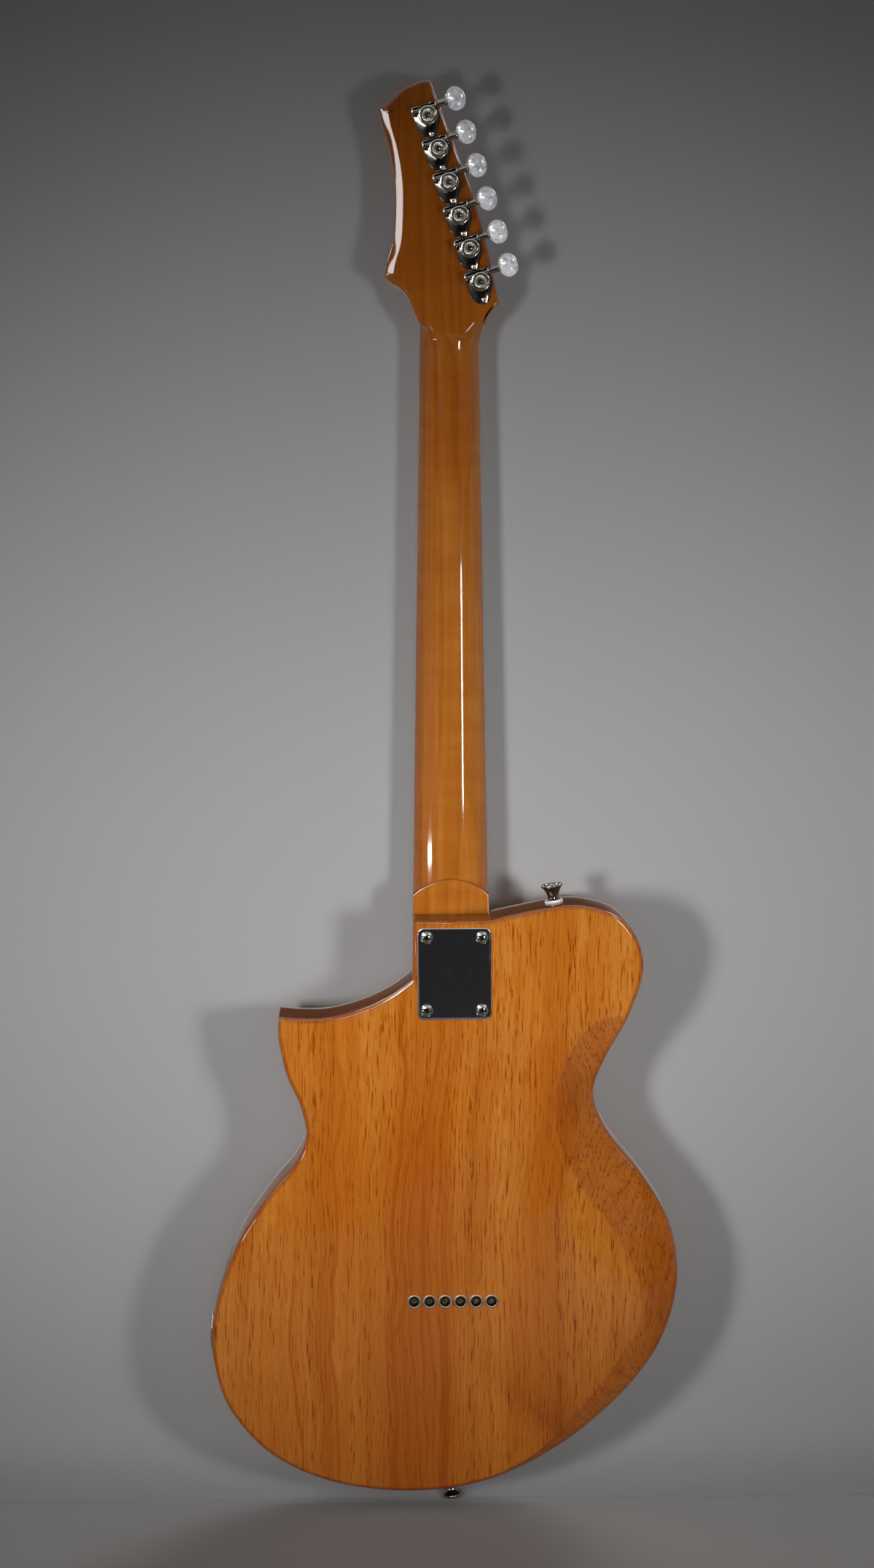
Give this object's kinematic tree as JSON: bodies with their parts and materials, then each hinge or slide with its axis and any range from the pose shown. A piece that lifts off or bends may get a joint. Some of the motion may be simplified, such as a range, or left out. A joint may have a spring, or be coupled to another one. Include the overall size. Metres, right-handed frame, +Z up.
{
  "type": "electric guitar",
  "caption": "Solid-body electric guitar with a single cutaway, bolt-on neck, belly contour, strings anchored through the body and worm-geared locking tuners in one line.",
  "frame": {"origin": "on the neck's centre line at the lower edge of the nut, in the plane of the body's front", "axes": "+Z up the neck to the headstock, +Y out of the guitar's back, +X to the treble side (the right when the front is seen with the headstock up)"},
  "size_m": [0.3279, 0.0657, 0.9879],
  "materials": {
    "body_wood": "clear gloss lacquer over an ash-like grain",
    "neck_wood": "satin lacquer over toasted maple",
    "board_wood": "satin toasted maple with nickel silver frets",
    "binding": "gloss cream",
    "bone": "polished bone",
    "chrome": "polished",
    "nickel": "polished nickel plate",
    "rod_steel": "plain",
    "brass": "satin",
    "string_steel": "plain and wound wire",
    "pearl": "pearl-like gloss on a nickel shaft",
    "black_plastic": "gloss"
  },
  "bodies": {
    "guitar": {"body": "body_wood", "body_binding": "binding", "neck": "neck_wood", "truss_rod": "rod_steel", "fretboard": "board_wood", "nut": "bone", "neck_plate": "chrome", "neck_screw_1": "nickel", "neck_screw_2": "nickel", "neck_screw_3": "nickel", "neck_screw_4": "nickel", "strap_button_upper": "nickel", "strap_button_lower": "nickel", "bridge_plate": "nickel", "saddle_1": "brass", "saddle_2": "brass", "saddle_3": "brass", "bridge_pickup": "black_plastic", "neck_pickup": "nickel", "control_plate": "nickel", "jack_cup": "nickel", "string_ferrule_1": "nickel", "string_1": "string_steel", "string_ferrule_2": "nickel", "string_2": "string_steel", "string_ferrule_3": "nickel", "string_3": "string_steel", "string_ferrule_4": "nickel", "string_4": "string_steel", "string_ferrule_5": "nickel", "string_5": "string_steel", "string_ferrule_6": "nickel", "string_6": "string_steel", "tuner_housing_6": "nickel", "tuner_housing_5": "nickel", "tuner_housing_4": "nickel", "tuner_housing_3": "nickel", "tuner_housing_2": "nickel", "tuner_housing_1": "nickel"},
    "tuner_button_1": {"tuner_button_1": "pearl"},
    "tuner_post_1": {"tuner_post_1": "nickel"},
    "tuner_lock_wheel_1": {"tuner_lock_wheel_1": "nickel"},
    "tuner_button_2": {"tuner_button_2": "pearl"},
    "tuner_post_2": {"tuner_post_2": "nickel"},
    "tuner_lock_wheel_2": {"tuner_lock_wheel_2": "nickel"},
    "tuner_button_3": {"tuner_button_3": "pearl"},
    "tuner_post_3": {"tuner_post_3": "nickel"},
    "tuner_lock_wheel_3": {"tuner_lock_wheel_3": "nickel"},
    "tuner_button_4": {"tuner_button_4": "pearl"},
    "tuner_post_4": {"tuner_post_4": "nickel"},
    "tuner_lock_wheel_4": {"tuner_lock_wheel_4": "nickel"},
    "tuner_button_5": {"tuner_button_5": "pearl"},
    "tuner_post_5": {"tuner_post_5": "nickel"},
    "tuner_lock_wheel_5": {"tuner_lock_wheel_5": "nickel"},
    "tuner_button_6": {"tuner_button_6": "pearl"},
    "tuner_post_6": {"tuner_post_6": "nickel"},
    "tuner_lock_wheel_6": {"tuner_lock_wheel_6": "nickel"},
    "volume_knob": {"volume_knob": "nickel"},
    "tone_knob": {"tone_knob": "nickel"},
    "switch_lever": {"switch_lever": "black_plastic"}
  },
  "joints": [
    {"name": "tuner_1_button_turn", "type": "hinge", "parent": "guitar", "child": "tuner_button_1", "pos_m": [0.01632, 0.0184, 0.15465], "axis": [-0.9524, 0, 0.3049], "continuous": true},
    {"name": "tuner_1_post_turn", "type": "hinge", "parent": "guitar", "child": "tuner_post_1", "pos_m": [0.01472, 0.0146, 0.14965], "axis": [0, 1, 0], "continuous": true},
    {"name": "tuner_1_lock_turn", "type": "hinge", "parent": "tuner_post_1", "child": "tuner_lock_wheel_1", "pos_m": [0.01472, 0.0146, 0.14965], "axis": [0, 1, 0], "range_deg": [0, 360]},
    {"name": "tuner_2_button_turn", "type": "hinge", "parent": "guitar", "child": "tuner_button_2", "pos_m": [0.00921, 0.0184, 0.13246], "axis": [-0.9524, 0, 0.3049], "continuous": true},
    {"name": "tuner_2_post_turn", "type": "hinge", "parent": "guitar", "child": "tuner_post_2", "pos_m": [0.00761, 0.0146, 0.12746], "axis": [0, 1, 0], "continuous": true},
    {"name": "tuner_2_lock_turn", "type": "hinge", "parent": "tuner_post_2", "child": "tuner_lock_wheel_2", "pos_m": [0.00761, 0.0146, 0.12746], "axis": [0, 1, 0], "range_deg": [0, 360]},
    {"name": "tuner_3_button_turn", "type": "hinge", "parent": "guitar", "child": "tuner_button_3", "pos_m": [0.00211, 0.0184, 0.11027], "axis": [-0.9524, 0, 0.3049], "continuous": true},
    {"name": "tuner_3_post_turn", "type": "hinge", "parent": "guitar", "child": "tuner_post_3", "pos_m": [0.00051, 0.0146, 0.10527], "axis": [0, 1, 0], "continuous": true},
    {"name": "tuner_3_lock_turn", "type": "hinge", "parent": "tuner_post_3", "child": "tuner_lock_wheel_3", "pos_m": [0.00051, 0.0146, 0.10527], "axis": [0, 1, 0], "range_deg": [0, 360]},
    {"name": "tuner_4_button_turn", "type": "hinge", "parent": "guitar", "child": "tuner_button_4", "pos_m": [-0.00499, 0.0184, 0.08808], "axis": [-0.9524, 0, 0.3049], "continuous": true},
    {"name": "tuner_4_post_turn", "type": "hinge", "parent": "guitar", "child": "tuner_post_4", "pos_m": [-0.00659, 0.0146, 0.08308], "axis": [0, 1, 0], "continuous": true},
    {"name": "tuner_4_lock_turn", "type": "hinge", "parent": "tuner_post_4", "child": "tuner_lock_wheel_4", "pos_m": [-0.00659, 0.0146, 0.08308], "axis": [0, 1, 0], "range_deg": [0, 360]},
    {"name": "tuner_5_button_turn", "type": "hinge", "parent": "guitar", "child": "tuner_button_5", "pos_m": [-0.0121, 0.0184, 0.06589], "axis": [-0.9524, 0, 0.3049], "continuous": true},
    {"name": "tuner_5_post_turn", "type": "hinge", "parent": "guitar", "child": "tuner_post_5", "pos_m": [-0.0137, 0.0146, 0.06089], "axis": [0, 1, 0], "continuous": true},
    {"name": "tuner_5_lock_turn", "type": "hinge", "parent": "tuner_post_5", "child": "tuner_lock_wheel_5", "pos_m": [-0.0137, 0.0146, 0.06089], "axis": [0, 1, 0], "range_deg": [0, 360]},
    {"name": "tuner_6_button_turn", "type": "hinge", "parent": "guitar", "child": "tuner_button_6", "pos_m": [-0.0192, 0.0184, 0.0437], "axis": [-0.9524, 0, 0.3049], "continuous": true},
    {"name": "tuner_6_post_turn", "type": "hinge", "parent": "guitar", "child": "tuner_post_6", "pos_m": [-0.0208, 0.0146, 0.0387], "axis": [0, 1, 0], "continuous": true},
    {"name": "tuner_6_lock_turn", "type": "hinge", "parent": "tuner_post_6", "child": "tuner_lock_wheel_6", "pos_m": [-0.0208, 0.0146, 0.0387], "axis": [0, 1, 0], "range_deg": [0, 360]},
    {"name": "volume_knob_turn", "type": "hinge", "parent": "guitar", "child": "volume_knob", "pos_m": [0.076, 0, -0.654], "axis": [0, -1, 0], "range_deg": [0, 270]},
    {"name": "tone_knob_turn", "type": "hinge", "parent": "guitar", "child": "tone_knob", "pos_m": [0.076, 0, -0.694], "axis": [0, -1, 0], "range_deg": [0, 270]},
    {"name": "switch_lever_swing", "type": "hinge", "parent": "guitar", "child": "switch_lever", "pos_m": [0.076, 0.009, -0.596], "axis": [1, 0, 0], "range_deg": [-16, 16]}
  ],
  "couplings": [
    {"joint": "tuner_1_post_turn", "follows": "tuner_1_button_turn", "ratio": 0.071429},
    {"joint": "tuner_2_post_turn", "follows": "tuner_2_button_turn", "ratio": 0.071429},
    {"joint": "tuner_3_post_turn", "follows": "tuner_3_button_turn", "ratio": 0.071429},
    {"joint": "tuner_4_post_turn", "follows": "tuner_4_button_turn", "ratio": 0.071429},
    {"joint": "tuner_5_post_turn", "follows": "tuner_5_button_turn", "ratio": 0.071429},
    {"joint": "tuner_6_post_turn", "follows": "tuner_6_button_turn", "ratio": 0.071429}
  ]
}
